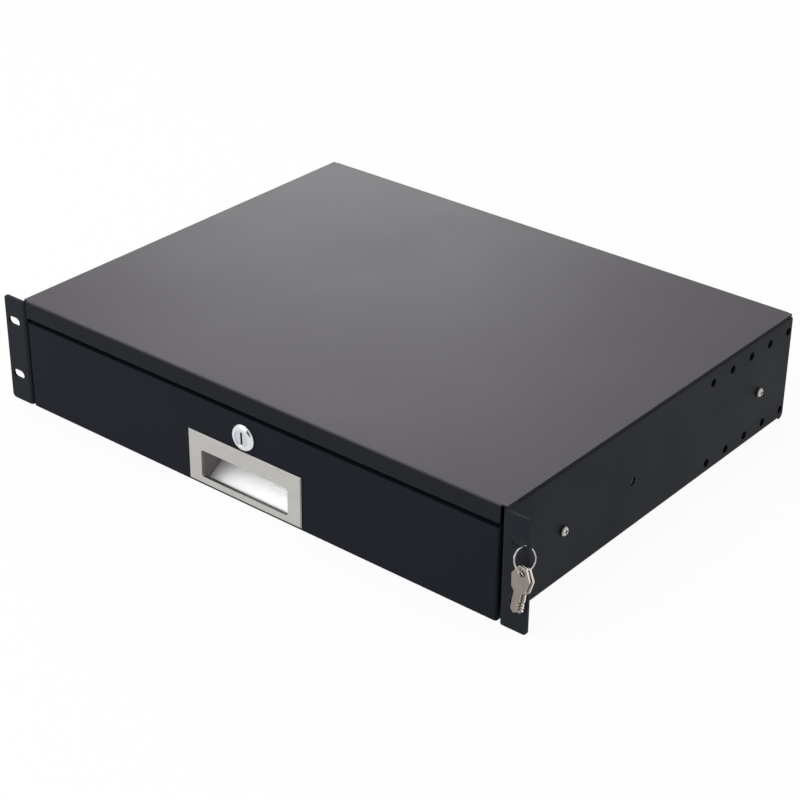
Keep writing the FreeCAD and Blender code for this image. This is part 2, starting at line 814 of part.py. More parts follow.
# ---------------------------------------------------------------------------
# Drawer: tray and front
# ---------------------------------------------------------------------------
def front_screw_spots():
    """Places across and up of the screws that hold the front to the tray's tabs."""
    return [(f"({side}) * (tray_half - front_screw_inset)",
             f"(tray_bottom + tray_top) / 2 + ({row}) * front_screw_pitch / 2")
            for side in (-1, 1) for row in (-1, 1)]


def make_tray():
    body = new_body("drawer_tray")
    section, arcs = folded([
        ("tray_hem - tray_half", "tray_top"),
        ("-tray_half", "tray_top"),
        ("-tray_half", "tray_bottom"),
        ("tray_half", "tray_bottom"),
        ("tray_half", "tray_top"),
        ("tray_half - tray_hem", "tray_top"),
    ], "tray_wall", "tray_bend")
    add(body, "sheet", "XZ", "tray_start", "tray_end", outline, section, arcs)
    low, high = "tray_bottom + tray_wall", "tray_top - tray_wall"
    add(body, "rear_wall", "XZ", "tray_end - tray_wall", "tray_end", outline,
        rectangle("tray_wall - tray_half", low, "tray_half - tray_wall", high))
    for name, inside, outside in (("left_tab", "tray_wall - tray_half", "tab_width - tray_half"),
                                  ("right_tab", "tray_half - tab_width", "tray_half - tray_wall")):
        add(body, name, "XZ", "tray_start", "tray_start + tray_wall", outline,
            rectangle(inside, low, outside, high))
    cut(body, "tab_holes", "XZ", "tray_start", "tray_start + tray_wall", circles, front_screw_spots(),
        "screw_radius + screw_clearance")
    cut(body, "member_holes", "YZ", "-tray_half", "tray_half", circles,
        [(place, "slide_axis") for place in DRAWER_SCREW_PLACES], "screw_radius + screw_clearance")


def stud_spots():
    """Places across and up of the studs on the back of the handle's bezel."""
    return [(f"({side}) * (bezel_width / 2 - stud_inset)", row)
            for side in (-1, 1) for row in ("bezel_bottom + stud_lift", "bezel_top - stud_drop")]


def make_drawer_front():
    body = new_body("drawer_front")
    section, arcs = folded([
        ("front_return - front_half", "tray_start"),
        ("-front_half", "tray_start"),
        ("-front_half", "0"),
        ("front_half", "0"),
        ("front_half", "tray_start"),
        ("front_half - front_return", "tray_start"),
    ], "front_wall", "front_bend")
    add(body, "sheet", "XY", "front_bottom", "front_top", outline, section, arcs)
    for name, low, high in (("top_return", "front_top - front_wall", "front_top"),
                            ("bottom_return", "front_bottom", "front_bottom + front_wall")):
        add(body, name, "XY", low, high, outline,
            rectangle("front_wall - front_half", "front_wall / 2",
                      "front_half - front_wall", "tray_start - front_wall / 2"))
    cut(body, "handle_opening", "XZ", "0", "front_wall", outline,
        rectangle("-cup_half - collar_play", "window_bottom - collar_wall - collar_play",
                  "cup_half + collar_play", "window_top + collar_wall + collar_play"))
    cut(body, "stud_holes", "XZ", "0", "front_wall", circles, stud_spots(), "stud_radius + stud_play")
    half = "lock_flat / 2 + collar_play"
    reach = f"sqrt((lock_body_radius + collar_play) ^ 2 - ({half}) ^ 2)"
    cut(body, "lock_opening", "XZ", "0", "front_wall", outline,
        rectangle(f"-1 * ({half})", f"lock_place - {reach}", half, f"lock_place + {reach}"),
        {0: ("lock_body_radius + collar_play", 1), 2: ("lock_body_radius + collar_play", 1)})
    cut(body, "tapped_holes", "XZ", "tray_start - front_wall", "tray_start", circles, front_screw_spots(),
        "screw_radius + screw_hole_play")


# ---------------------------------------------------------------------------
# Flush handle: bezel with a collar and studs, and the scooped cup behind it
# ---------------------------------------------------------------------------
def make_bezel():
    body = new_body("handle_bezel")
    half = "bezel_width / 2"
    add(body, "plate", "XZ", "-bezel_proud", "0", outline,
        rectangle(f"-{half}", "bezel_bottom", half, "bezel_top"))
    add(body, "collar", "XZ", "0", "front_wall", outline,
        rectangle("-window_half - collar_wall", "window_bottom - collar_wall",
                  "window_half + collar_wall", "window_top + collar_wall"))
    face = [("-bezel_proud", "bezel_bottom"), ("-bezel_proud", "bezel_top")]
    sides = [(f"-{half}", "-bezel_proud"), (half, "-bezel_proud")]
    soften(body, "Chamfer", "bevel", "bezel_bevel", edges_along(body, 0, face) + edges_along(body, 2, sides))
    corners = {index: ("window_corner", 1) for index in (1, 3, 5, 7)}
    cut(body, "window", "XZ", "-bezel_proud", "front_wall", outline, [
        ("window_corner - window_half", "window_bottom"),
        ("window_half - window_corner", "window_bottom"),
        ("window_half", "window_bottom + window_corner"),
        ("window_half", "window_top - window_corner"),
        ("window_half - window_corner", "window_top"),
        ("window_corner - window_half", "window_top"),
        ("-window_half", "window_top - window_corner"),
        ("-window_half", "window_bottom + window_corner"),
    ], corners)
    add(body, "studs", "XZ", "0", "front_wall + cup_wall + nut_height + stud_play", circles, stud_spots(),
        "stud_radius")


def make_cup():
    """A scooped cup: its floor is level behind the collar, and then ramps up to the back."""
    body = new_body("handle_cup")
    hollow = [
        ("front_wall", "cup_low"),
        ("cup_floor_end", "cup_low"),
        ("cup_depth", "cup_low + cup_rise"),
        ("cup_depth", "cup_high"),
        ("front_wall", "cup_high"),
    ]
    shell = [
        ("front_wall", "cup_low - cup_wall"),
        ("cup_floor_end + cup_wall * tan(cup_slope * 0.5deg)", "cup_low - cup_wall"),
        ("cup_depth + cup_wall", "cup_low + cup_rise - cup_wall * tan(45deg - cup_slope * 0.5deg)"),
        ("cup_depth + cup_wall", "cup_high + cup_wall"),
        ("front_wall", "cup_high + cup_wall"),
    ]
    add(body, "shell", "YZ", "-cup_half - cup_wall", "cup_half + cup_wall", outline, shell)
    soften(body, "Fillet", "outer_bends", "cup_radius + cup_wall", edges_along(body, 0, shell[1:4]))
    add(body, "flange", "XZ", "front_wall", "front_wall + cup_wall", outline,
        rectangle("-cup_half - cup_flange", "cup_low - cup_wall",
                  "cup_half + cup_flange", "cup_high + cup_flange / 2"))
    cut(body, "hollow", "YZ", "-cup_half", "cup_half", outline, hollow)
    soften(body, "Fillet", "inner_bends", "cup_radius", edges_along(body, 0, hollow[1:4]))
    cut(body, "stud_holes", "XZ", "front_wall", "front_wall + cup_wall", circles, stud_spots(),
        "stud_radius + stud_play")


def make_nut(name, across, bore, height):
    """A hexagon nut along Y."""
    body = doc.addObject("PartDesign::Body", name)
    add(body, "hexagon", "XZ", "0", height, outline, hexagon(across))
    cut(body, "bore", "XZ", "0", height, circles, [("0", "0")], bore)
    return body


# ---------------------------------------------------------------------------
# Cam lock, round its own axis, and set at its place in the drawer front
# ---------------------------------------------------------------------------
def set_at_lock(body):
    bind(body, "Placement.Base.z", "lock_place")


def make_lock_housing():
    body = new_body("lock_housing")
    front = "-lock_head_height"
    ledge = f"{front} + plug_sink + plug_face_depth"
    turn_round(body, "turned", [
        ("plug_radius + plug_play", ledge),
        ("plug_face_radius + plug_play", ledge),
        ("plug_face_radius + plug_play", front),
        ("lock_face_radius", front),
        ("lock_head_radius", "-lock_rim"),
        ("lock_head_radius", "0"),
        ("lock_body_radius", "0"),
        ("lock_body_radius", "lock_body_length"),
        ("plug_radius + plug_play", "lock_body_length"),
    ], {3: ("lock_dome", 1)})
    for name, side in (("left_flat", -1), ("right_flat", 1)):
        near, far = f"({side}) * lock_flat / 2", f"({side}) * (lock_body_radius + 1)"
        left, right = (far, near) if side < 0 else (near, far)
        cut(body, name, "XZ", "0", "lock_body_length", outline,
            rectangle(left, "-lock_body_radius", right, "lock_body_radius"))
    set_at_lock(body)


def make_lock_plug():
    body = new_body("lock_plug")
    face = "plug_sink - lock_head_height"
    turn_round(body, "turned", [
        ("0", face),
        ("plug_face_radius", face),
        ("plug_face_radius", f"{face} + plug_face_depth"),
        ("plug_radius", f"{face} + plug_face_depth"),
        ("plug_radius", "cam_front"),
        ("0", "cam_front"),
    ])
    half = "tail_width / 2"
    add(body, "tail", "XZ", "cam_front", "cam_back", outline, rectangle(f"-{half}", f"-{half}", half, half))
    cut(body, "screw_hole", "XZ", "cam_back - cam_screw_depth", "cam_back", circles, [("0", "0")],
        "cam_screw_radius + screw_hole_play")
    half_width, half_height = "keyway_width / 2", "keyway_height / 2"
    warded = f"({half_width} - keyway_ward)"
    cut(body, "keyway", "XZ", face, "keyway_depth", outline, [
        (f"-{warded}", f"-{half_height}"),
        (half_width, f"-{half_height}"),
        (half_width, "0"),
        (warded, "keyway_step"),
        (warded, half_height),
        (f"-{half_width}", half_height),
        (f"-{half_width}", "0"),
        (f"-{warded}", "-keyway_step"),
    ])
    set_at_lock(body)


def make_lock_cam():
    body = new_body("lock_cam")
    half = "cam_width / 2"
    add(body, "bar", "XZ", "cam_front", "cam_back", outline,
        rectangle(f"{half} - cam_length", f"-{half}", "0", half), {1: (half, 1), 3: (half, 1)})
    hole = "tail_width / 2 + collar_play"
    cut(body, "square_hole", "XZ", "cam_front", "cam_back", outline,
        rectangle(f"-1 * ({hole})", f"-1 * ({hole})", hole, hole))
    set_at_lock(body)


# ---------------------------------------------------------------------------
# Keys on their ring, which goes through the upper slot of the right ear
# ---------------------------------------------------------------------------
def make_key_ring():
    ring = doc.addObject("Part::Torus", "key_ring")
    bind(ring, "Radius1", "ring_radius")
    bind(ring, "Radius2", "ring_wire")
    bind(ring, "Placement",
         "placement(vector(ring_across; ring_out; ring_up); rotation(ring_turn; 0; 90 - ring_tilt))")
    ring.Label = "key_ring"
    pieces.append(ring)


def wire_place(angle):
    """Middle of the ring's wire, at an angle from its lowest point towards the front."""
    level, rise = f"ring_radius * sin({angle} * 1deg)", f"ring_radius * cos({angle} * 1deg)"
    leaning = f"{rise} * sin(ring_tilt * 1deg)"
    return (
        f"ring_across - {level} * cos(ring_turn * 1deg) + {leaning} * sin(ring_turn * 1deg)",
        f"ring_out - {level} * sin(ring_turn * 1deg) - {leaning} * cos(ring_turn * 1deg)",
        f"ring_up - {rise} * cos(ring_tilt * 1deg)",
    )


def make_key(label, angle, swing):
    """A flat key that hangs from the ring by the hole in its bow. Its own origin is the hole's centre."""
    body = new_body(label)
    top = "key_hole_radius + key_hole_edge"
    neck, tip = f"{top} - bow_height", f"{top} - key_length"
    low, high = "-key_thickness / 2", "key_thickness / 2"
    right_side = [
        ("blade_width / 2", neck),
        ("bow_foot / 2", f"{neck} + bow_foot_rise"),
        ("bow_width / 2", f"{top} - bow_shoulder"),
        ("bow_top / 2", top),
    ]
    left_side = [(f"-{across}", up) for across, up in reversed(right_side)]
    add(body, "bow", "XZ", low, high, outline, right_side + left_side)
    point = f"{tip} + blade_point"
    bits = []
    for step in range(KEY_BITS):
        bits.append(("blade_width / 2", f"{point} + {step} * bit_pitch"))
        bits.append(("blade_width / 2 - bit_depth", f"{point} + {step + 0.5} * bit_pitch"))
    add(body, "blade", "XZ", low, high, outline, [
        ("-blade_width / 2", neck),
        ("-blade_width / 2", point),
        ("-blade_tip / 2", tip),
        ("blade_tip / 2", tip),
        *bits,
        ("blade_width / 2", f"{point} + {KEY_BITS} * bit_pitch"),
        ("blade_width / 2", neck),
    ])
    cut(body, "ring_hole", "XZ", low, high, circles, [("0", "0")], "key_hole_radius")
    across, out, up = wire_place(angle)
    drop = "key_hole_radius - key_hang"
    bind(body, "Placement", f"placement(vector({across}; {out}; {up} - ({drop})); rotation(0; {swing}; 0))")


make_side_plate()
make_top_cover()
make_lock_strike()
make_cabinet_member()
make_middle_member()
make_drawer_member()
ball = doc.addObject("Part::Sphere", "ball")
bind(ball, "Radius", "ball_radius")
make_cage("outer", "outer_cage_depth", "outer_race_depth", "outer_row")
make_cage("inner", "inner_cage_depth", "inner_race_depth", "inner_row")
make_bumper()
make_release_lever()
make_tray()
make_drawer_front()
make_bezel()
make_cup()
make_lock_housing()
make_lock_plug()
make_lock_cam()
make_key_ring()
make_key("key_front", "front_key_place", "front_key_swing")
make_key("key_rear", "rear_key_place", "rear_key_swing")

case_screw = pan_screw("case_screw", "screw_head_radius", "screw_head_height", "screw_radius",
                       "side_wall + member_wall - screw_end_play")
both_sides(group("case_screws", case_screw, [
    ("case_half", place, "slide_axis") for place in ("front_screw_place", "rear_screw_place")
], 90), "case_screws")
tray_screw = pan_screw("tray_screw", "screw_head_radius", "screw_head_height", "screw_radius",
                       "tray_wall + member_wall + tray_screw_tip")
both_sides(group("tray_screws", tray_screw, [
    ("tray_half - tray_wall", place, "slide_axis") for place in DRAWER_SCREW_PLACES
], -90), "tray_screws")
front_screw = pan_screw("front_screw", "screw_head_radius", "screw_head_height", "screw_radius",
                        "tray_wall + front_wall + tray_screw_tip")
group("front_screws", front_screw, [
    (across, "tray_start + tray_wall", up) for across, up in front_screw_spots()
], 180)
cam_screw = pan_screw("cam_screw_source", "cam_screw_head", "cam_screw_head_height", "cam_screw_radius",
                      "cam_screw_depth - cam_screw_play")
group("cam_screw", cam_screw, [("0", "cam_back", "lock_place")], 180)
handle_nut = make_nut("handle_nut", "nut_across", "stud_radius + screw_hole_play", "nut_height")
group("handle_nuts", handle_nut, [
    (across, "front_wall + cup_wall", up) for across, up in stud_spots()
])
lock_nut = make_nut("lock_nut_source", "lock_nut_across", "lock_body_radius + screw_hole_play",
                    "lock_nut_height")
group("lock_nut", lock_nut, [("0", "front_wall", "lock_place")])
doc.recompute()

for thing in doc.Objects:
    if "Invalid" in thing.State or "Error" in thing.State:
        raise RuntimeError(f"{thing.Label} did not rebuild: {thing.State}")
os.makedirs("parts", exist_ok=True)
for piece in pieces:
    shape = piece.Shape
    if shape.isNull() or not shape.isValid() or not shape.Solids:
        raise RuntimeError(f"{piece.Label} is not a valid solid")
    shape.exportStep(f"parts/{piece.Label}.step")
    print(f"{piece.Label}: {len(shape.Solids)} solids, {shape.Volume:.1f} mm3")
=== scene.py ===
# %% [markdown]
# # A sliding rack drawer
# A two-unit drawer for a 19 inch rack: a black powder-coated case that bolts to the rack by its ears,
# and a tray that runs out of it on ball-bearing slides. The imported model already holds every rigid
# piece, at its true size and place. So this lesson is mostly about finishes and light, and about three
# small pieces, the split ring and the two keys, that deserve more shape than CAD gives them.

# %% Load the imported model
import math

import bmesh
import bpy
from mathutils import Matrix, Vector


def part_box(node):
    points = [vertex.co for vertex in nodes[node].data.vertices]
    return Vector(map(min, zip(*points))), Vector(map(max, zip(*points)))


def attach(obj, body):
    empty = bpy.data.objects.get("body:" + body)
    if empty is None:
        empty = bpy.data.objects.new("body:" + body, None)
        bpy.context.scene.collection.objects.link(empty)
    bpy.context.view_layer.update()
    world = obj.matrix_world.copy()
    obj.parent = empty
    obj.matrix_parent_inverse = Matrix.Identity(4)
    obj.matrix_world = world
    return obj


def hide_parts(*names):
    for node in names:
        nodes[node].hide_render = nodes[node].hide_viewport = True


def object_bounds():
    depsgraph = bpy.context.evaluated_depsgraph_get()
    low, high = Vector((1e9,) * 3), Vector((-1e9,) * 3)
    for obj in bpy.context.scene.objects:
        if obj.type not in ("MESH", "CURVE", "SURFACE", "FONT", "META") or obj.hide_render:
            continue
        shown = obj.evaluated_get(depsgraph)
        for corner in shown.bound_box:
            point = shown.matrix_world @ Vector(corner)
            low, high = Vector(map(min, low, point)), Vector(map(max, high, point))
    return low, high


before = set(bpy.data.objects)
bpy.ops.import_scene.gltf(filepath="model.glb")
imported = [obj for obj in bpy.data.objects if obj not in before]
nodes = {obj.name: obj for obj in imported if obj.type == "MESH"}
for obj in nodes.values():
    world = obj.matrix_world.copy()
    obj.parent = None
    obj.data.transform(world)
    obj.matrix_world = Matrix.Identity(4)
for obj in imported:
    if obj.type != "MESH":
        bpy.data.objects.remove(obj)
cad_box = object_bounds()
scene = bpy.context.scene

# %% [markdown]
# ## The camera
# The case is seen from above its right front corner with a long lens, which keeps parallel edges
# nearly parallel. A camera looks along its own -Z axis, so three turns are enough: lean it back from
# looking straight down, swing it round the drawer, and roll it a little about its own view.

# %% Camera
CAMERA_PLACE = (0.8424, -0.8649, 0.7090)
SWING, ELEVATION, ROLL = math.radians(39.196), math.radians(29.074), math.radians(0.572)
camera_data = bpy.data.cameras.new("product_camera")
camera_data.sensor_width = 36.0
camera_data.lens = 91.91
camera = bpy.data.objects.new("product_camera", camera_data)
camera.matrix_world = (
    Matrix.Translation(CAMERA_PLACE)
    @ Matrix.Rotation(SWING, 4, "Z")
    @ Matrix.Rotation(math.pi / 2 - ELEVATION, 4, "X")
    @ Matrix.Rotation(ROLL, 4, "Z")
)
scene.collection.objects.link(camera)
scene.camera = camera
scene.view_settings.view_transform = "Standard"
print("lens", camera_data.lens, "mm, at", tuple(round(v, 3) for v in camera.location))

# %% [markdown]
# ## Helpers for node trees
# Materials are graphs of nodes. Adding a node takes three steps: make it, set its options, and link
# or fill its sockets. One small function does all three, so that each finish below reads as a list of
# what it is made of. Sockets are given by name, or by number where two of them share a name.

# %% Node helpers
def add_node(tree, kind, options=None, sockets=None):
    """Add a shader node, set its options, then link or fill its input sockets."""
    made = tree.nodes.new("ShaderNode" + kind)
    for name, value in (options or {}).items():
        setattr(made, name, value)
    for name, value in (sockets or {}).items():
        if isinstance(value, bpy.types.NodeSocket):
            tree.links.new(value, made.inputs[name])
        else:
            made.inputs[name].default_value = value
    return made


def calculate(tree, operation, first, second=0.0, clamp=False):
    """The result of one Math node."""
    options = {"operation": operation, "use_clamp": clamp}
    return add_node(tree, "Math", options, {0: first, 1: second}).outputs[0]


def remap(tree, value, from_low, from_high, to_low, to_high):
    """A value stretched from one range to another, and held inside it."""
    ends = {"From Min": from_low, "From Max": from_high, "To Min": to_low, "To Max": to_high}
    return add_node(tree, "MapRange", {"clamp": True}, {"Value": value, **ends}).outputs["Result"]


def blend_colours(tree, mask, first, second):
    """The first colour where the mask is 0, the second where it is 1."""
    return add_node(tree, "Mix", {"data_type": "RGBA"}, {0: mask, 6: first, 7: second}).outputs[2]


def noise(tree, place, scale, detail, roughness, distortion=0.0):
    """The value of a noise texture."""
    return add_node(tree, "TexNoise", sockets={
        "Vector": place, "Scale": scale, "Detail": detail, "Roughness": roughness, "Distortion": distortion,
    }).outputs["Fac"]


def facing(tree, axis):
    """How far the surface faces along one axis of the room, from -1 to 1."""
    normal = add_node(tree, "NewGeometry").outputs["Normal"]
    return add_node(tree, "SeparateXYZ", sockets={0: normal}).outputs[axis]


def new_material(name):
    """A new material, with its node tree and its shader."""
    material = bpy.data.materials.new(name)
    material.use_nodes = True
    return material, material.node_tree, material.node_tree.nodes["Principled BSDF"]


def recolour(material, mask, colour):
    """Blend another colour over a finished material where the mask is 1."""
    tree = material.node_tree
    base = tree.nodes["Principled BSDF"].inputs["Base Color"]
    tree.links.new(blend_colours(tree, mask, base.links[0].from_socket, colour), base)


def new_group(title, inputs, outputs):
    """An empty node group with named number inputs, and named outputs of the given socket types."""
    tree = bpy.data.node_groups.new(title, "ShaderNodeTree")
    for name, value in inputs.items():
        kind = "NodeSocketVector" if isinstance(value, tuple) else "NodeSocketFloat"
        tree.interface.new_socket(name, in_out="INPUT", socket_type=kind).default_value = value
    for name, kind in outputs.items():
        tree.interface.new_socket(name, in_out="OUTPUT", socket_type="NodeSocket" + kind)
    return tree, tree.nodes.new("NodeGroupInput").outputs, tree.nodes.new("NodeGroupOutput").inputs


def use_group(tree, group, sockets=None):
    """Place a node group in a material with its own values."""
    made = tree.nodes.new("ShaderNodeGroup")
    made.node_tree = group
    for name, value in (sockets or {}).items():
        made.inputs[name].default_value = value
    return made.outputs


print("helpers ready")

# %% [markdown]
# ## Grain of a powder coat
# Powder paint melts into a skin that is never quite flat: fine bumps about half a millimetre across, on
# slow waves like orange peel. Two noise textures at those two scales, added together, give the height.
# The object coordinates keep the grain at its real size on every piece. The finest bumps also make
# tiny lighter specks, which is what makes black paint look like paint and not like plastic.

# %% Powder grain group
WAVE_HEIGHT = 1.6
powder_grain, given, wanted = new_group(
    "powder_grain",
    {"Bumps per Metre": 1900.0, "Waves per Metre": 260.0},
    {"Height": "Float", "Specks": "Float"},
)
place = add_node(powder_grain, "TexCoord").outputs["Object"]
bumps = noise(powder_grain, place, given["Bumps per Metre"], detail=3.0, roughness=0.6)
waves = noise(powder_grain, place, given["Waves per Metre"], detail=1.0, roughness=0.4)
heavy_waves = calculate(powder_grain, "MULTIPLY", waves, WAVE_HEIGHT)
powder_grain.links.new(calculate(powder_grain, "ADD", bumps, heavy_waves), wanted["Height"])
powder_grain.links.new(remap(powder_grain, bumps, 0.58, 0.74, 0.0, 1.0), wanted["Specks"])
print("powder_grain:", len(powder_grain.nodes), "nodes")

# %% [markdown]
# ## Worn edges
# Paint is thinner on a folded or cut edge, and hands and rails rub it there. Cycles' Bevel node gives
# the normal that a rounded edge would have, so where it differs from the flat face's own normal, there
# is an edge. Noise breaks that band up, because wear is never an even line.

# %% Edge wear group
edge_wear, given, wanted = new_group(
    "edge_wear", {"Reach": 0.0006, "Patches per Metre": 90.0, "Amount": 0.5}, {"Mask": "Float"})
rounded = add_node(edge_wear, "Bevel", {"samples": 6}, {"Radius": given["Reach"]}).outputs["Normal"]
flat = add_node(edge_wear, "NewGeometry").outputs["Normal"]
alike = add_node(
    edge_wear, "VectorMath", {"operation": "DOT_PRODUCT"}, {0: rounded, 1: flat}).outputs["Value"]
on_edge = remap(edge_wear, alike, 0.995, 0.86, 0.0, 1.0)
place = add_node(edge_wear, "TexCoord").outputs["Object"]
patches = noise(edge_wear, place, given["Patches per Metre"], detail=4.0, roughness=0.65)
broken = calculate(edge_wear, "MULTIPLY", on_edge, remap(edge_wear, patches, 0.35, 0.65, 0.15, 1.0))
edge_wear.links.new(calculate(edge_wear, "MULTIPLY", broken, given["Amount"], clamp=True), wanted["Mask"])
print("edge_wear:", len(edge_wear.nodes), "nodes")

# %% [markdown]
# ## Handling
# Nothing that was packed, carried and screwed in has one even gloss. Faint cloudy patches, a hand's
# width across, change the roughness a little. They are hardly seen head on, and show in a low light.

# %% Handling group
handling, given, wanted = new_group(
    "handling",
    {"Patches per Metre": 11.0, "Smooth": 0.4, "Dull": 0.5},
    {"Roughness": "Float", "Cloud": "Float"},
)
place = add_node(handling, "TexCoord").outputs["Object"]
cloud = noise(handling, place, given["Patches per Metre"], detail=5.0, roughness=0.55, distortion=0.4)
handling.links.new(remap(handling, cloud, 0.3, 0.7, given["Smooth"], given["Dull"]), wanted["Roughness"])
handling.links.new(cloud, wanted["Cloud"])
print("handling:", len(handling.nodes), "nodes")

# %% [markdown]
# ## Brushed and rolled metal
# A brushed face carries thousands of straight scratches in one direction. Noise that is squeezed hard
# across that direction and left long along it gives them. The stretch is a vector, so one group serves
# the handle's plate, brushed along its length, and the slides, rolled along theirs.

# %% Brush lines group
brush_lines, given, wanted = new_group(
    "brush_lines", {"Lines per Metre": (25.0, 2600.0, 2600.0)}, {"Height": "Float", "Streaks": "Float"})
place = add_node(brush_lines, "TexCoord").outputs["Object"]
squeezed = add_node(brush_lines, "VectorMath", {"operation": "MULTIPLY"},
                    {0: place, 1: given["Lines per Metre"]}).outputs["Vector"]
scratches = noise(brush_lines, squeezed, 1.0, detail=3.0, roughness=0.7)
brush_lines.links.new(scratches, wanted["Height"])
brush_lines.links.new(remap(brush_lines, scratches, 0.3, 0.7, 0.0, 1.0), wanted["Streaks"])
print("brush_lines:", len(brush_lines.nodes), "nodes")

# %% [markdown]
# ## Painted finishes
# The case, the tray and the front share one paint, so one function makes them all, and each call only
# says how dark and how shiny that piece is. The shader stays in the material. Even values are set on
# its own sockets, and only what changes over the surface is linked.

# %% Powder coat materials
GRAIN_HEIGHT = 0.00006
PAINT_LIGHTER, PAINT_SPECKS, PAINT_CLOUDS = 1.7, 0.55, 0.35


def lighten(colour, factor, limit=1.0):
    """A colour made lighter, and held under a limit."""
    return tuple(min(factor * value, limit) for value in colour[:3]) + (1.0,)


def powder_coat(name, paint, bare, gloss, smooth, dull, wear):
    """Black powder coat over steel: grain, specks, cloudy gloss and thin, worn edges."""
    material, tree, shader = new_material(name)
    skin = use_group(tree, powder_grain)
    hands = use_group(tree, handling, {"Smooth": smooth, "Dull": dull})
    worn = use_group(tree, edge_wear, {"Amount": wear})
    lighter = lighten(paint, PAINT_LIGHTER)
    speckled = blend_colours(
        tree, calculate(tree, "MULTIPLY", skin["Specks"], PAINT_SPECKS), paint, lighter)
    cloudy = remap(tree, hands["Cloud"], 0.35, 0.7, 0.0, PAINT_CLOUDS)
    clouded = blend_colours(tree, cloudy, speckled, lighter)
    tree.links.new(blend_colours(tree, worn["Mask"], clouded, bare), shader.inputs["Base Color"])
    tree.links.new(hands["Roughness"], shader.inputs["Roughness"])
    relief = add_node(tree, "Bump", sockets={
        "Height": skin["Height"], "Distance": GRAIN_HEIGHT, "Strength": 0.6})
    tree.links.new(relief.outputs["Normal"], shader.inputs["Normal"])
    shader.inputs["Specular IOR Level"].default_value = gloss
    return material


case_paint = powder_coat(
    "case_powder_coat", paint=(0.0100, 0.0120, 0.0160, 1), bare=(0.050, 0.053, 0.060, 1),
    gloss=0.085, smooth=0.50, dull=0.62, wear=0.35)
# The cover's and the drawer's paint are darker than the case's: painted shade for the forward faces.
cover_paint = powder_coat(
    "cover_powder_coat", paint=(0.0090, 0.0105, 0.0140, 1), bare=(0.075, 0.075, 0.080, 1),
    gloss=0.060, smooth=0.46, dull=0.54, wear=0.35)
drawer_paint = powder_coat(
    "drawer_powder_coat", paint=(0.0070, 0.0086, 0.0130, 1), bare=(0.040, 0.043, 0.050, 1),
    gloss=0.062, smooth=0.50, dull=0.60, wear=0.3)
print("painted:", case_paint.name, cover_paint.name, drawer_paint.name)

# %% [markdown]
# ## The level face of the cover
# Powder that melts on a level sheet flows out smoother than on its folded edges, so the cover's top
# has a soft sheen that its front edge hasn't. A clear coat gives the sheen. The top's colour is also
# made a lighter grey, a painted sheen that makes the black top look grey in any light. The coat's
# weight and the painted grey follow how far the surface faces up, so the folds fade out of both by
# themselves.

# %% Sheen on the cover
COVER_TOP_PAINTED_SHEEN, PAINTED_SHEEN_SHARE, SHEEN = (0.052, 0.044, 0.054, 1), 0.75, 0.42
tree = cover_paint.node_tree
shader = tree.nodes["Principled BSDF"]
level = remap(tree, facing(tree, "Z"), 0.5, 0.95, 0.0, 1.0)
# a lighter grey painted on the level face, a painted sheen
recolour(cover_paint, calculate(tree, "MULTIPLY", level, PAINTED_SHEEN_SHARE), COVER_TOP_PAINTED_SHEEN)
tree.links.new(calculate(tree, "MULTIPLY", level, SHEEN), shader.inputs["Coat Weight"])
shader.inputs["Coat Roughness"].default_value = 0.45
print("cover sheen and dust follow the face's tilt")

# %% [markdown]
# ## Plated finishes
# The slides are rolled from zinc-plated strip, the drawer's screws are passivated to a pale yellow, and
# the handle's plate is brushed nickel. All are metals, so their colour is the colour of their reflection.
# Streaks from the brush group move both the colour and the roughness, which is what makes a brushed
# face look soft across the lines and crisp along them.

# %% Plated materials
ALONG_X, ALONG_Y, ALONG_Z = (25.0, 2600.0, 2600.0), (2600.0, 25.0, 2600.0), (2600.0, 2600.0, 25.0)
COARSE_ALONG_Z = (900.0, 900.0, 18.0)
METAL_STREAKS, METAL_CLOUDS, STREAK_ROUGHNESS = 0.5, 0.4, 0.08
RUBBED_GAIN, RUBBED_LIMIT = 1.25, 0.95


def plated(name, metal, shade, smooth, dull, lines, relief=0.00001, wear=0.0):
    """Plated metal with fine lines in one direction, cloudy patches, and edges rubbed bright."""
    material, tree, shader = new_material(name)
    grain = use_group(tree, brush_lines, {"Lines per Metre": lines})
    hands = use_group(tree, handling, {"Patches per Metre": 45.0, "Smooth": smooth, "Dull": dull})
    rubbed = use_group(tree, edge_wear, {"Reach": 0.0003, "Amount": wear})
    streaks = calculate(tree, "MULTIPLY", grain["Streaks"], METAL_STREAKS)
    cloudy = remap(tree, hands["Cloud"], 0.4, 0.75, 0.0, METAL_CLOUDS)
    clouded = blend_colours(tree, cloudy, blend_colours(tree, streaks, metal, shade), shade)
    brighter = lighten(metal, RUBBED_GAIN, limit=RUBBED_LIMIT)
    tree.links.new(blend_colours(tree, rubbed["Mask"], clouded, brighter), shader.inputs["Base Color"])
    roughness = calculate(tree, "MULTIPLY_ADD", grain["Streaks"], STREAK_ROUGHNESS)
    tree.links.new(hands["Roughness"], roughness.node.inputs[2])
    tree.links.new(roughness, shader.inputs["Roughness"])
    scored = add_node(tree, "Bump", sockets={
        "Height": grain["Height"], "Distance": relief, "Strength": 0.5})
    tree.links.new(scored.outputs["Normal"], shader.inputs["Normal"])
    shader.inputs["Metallic"].default_value = 1.0
    return material


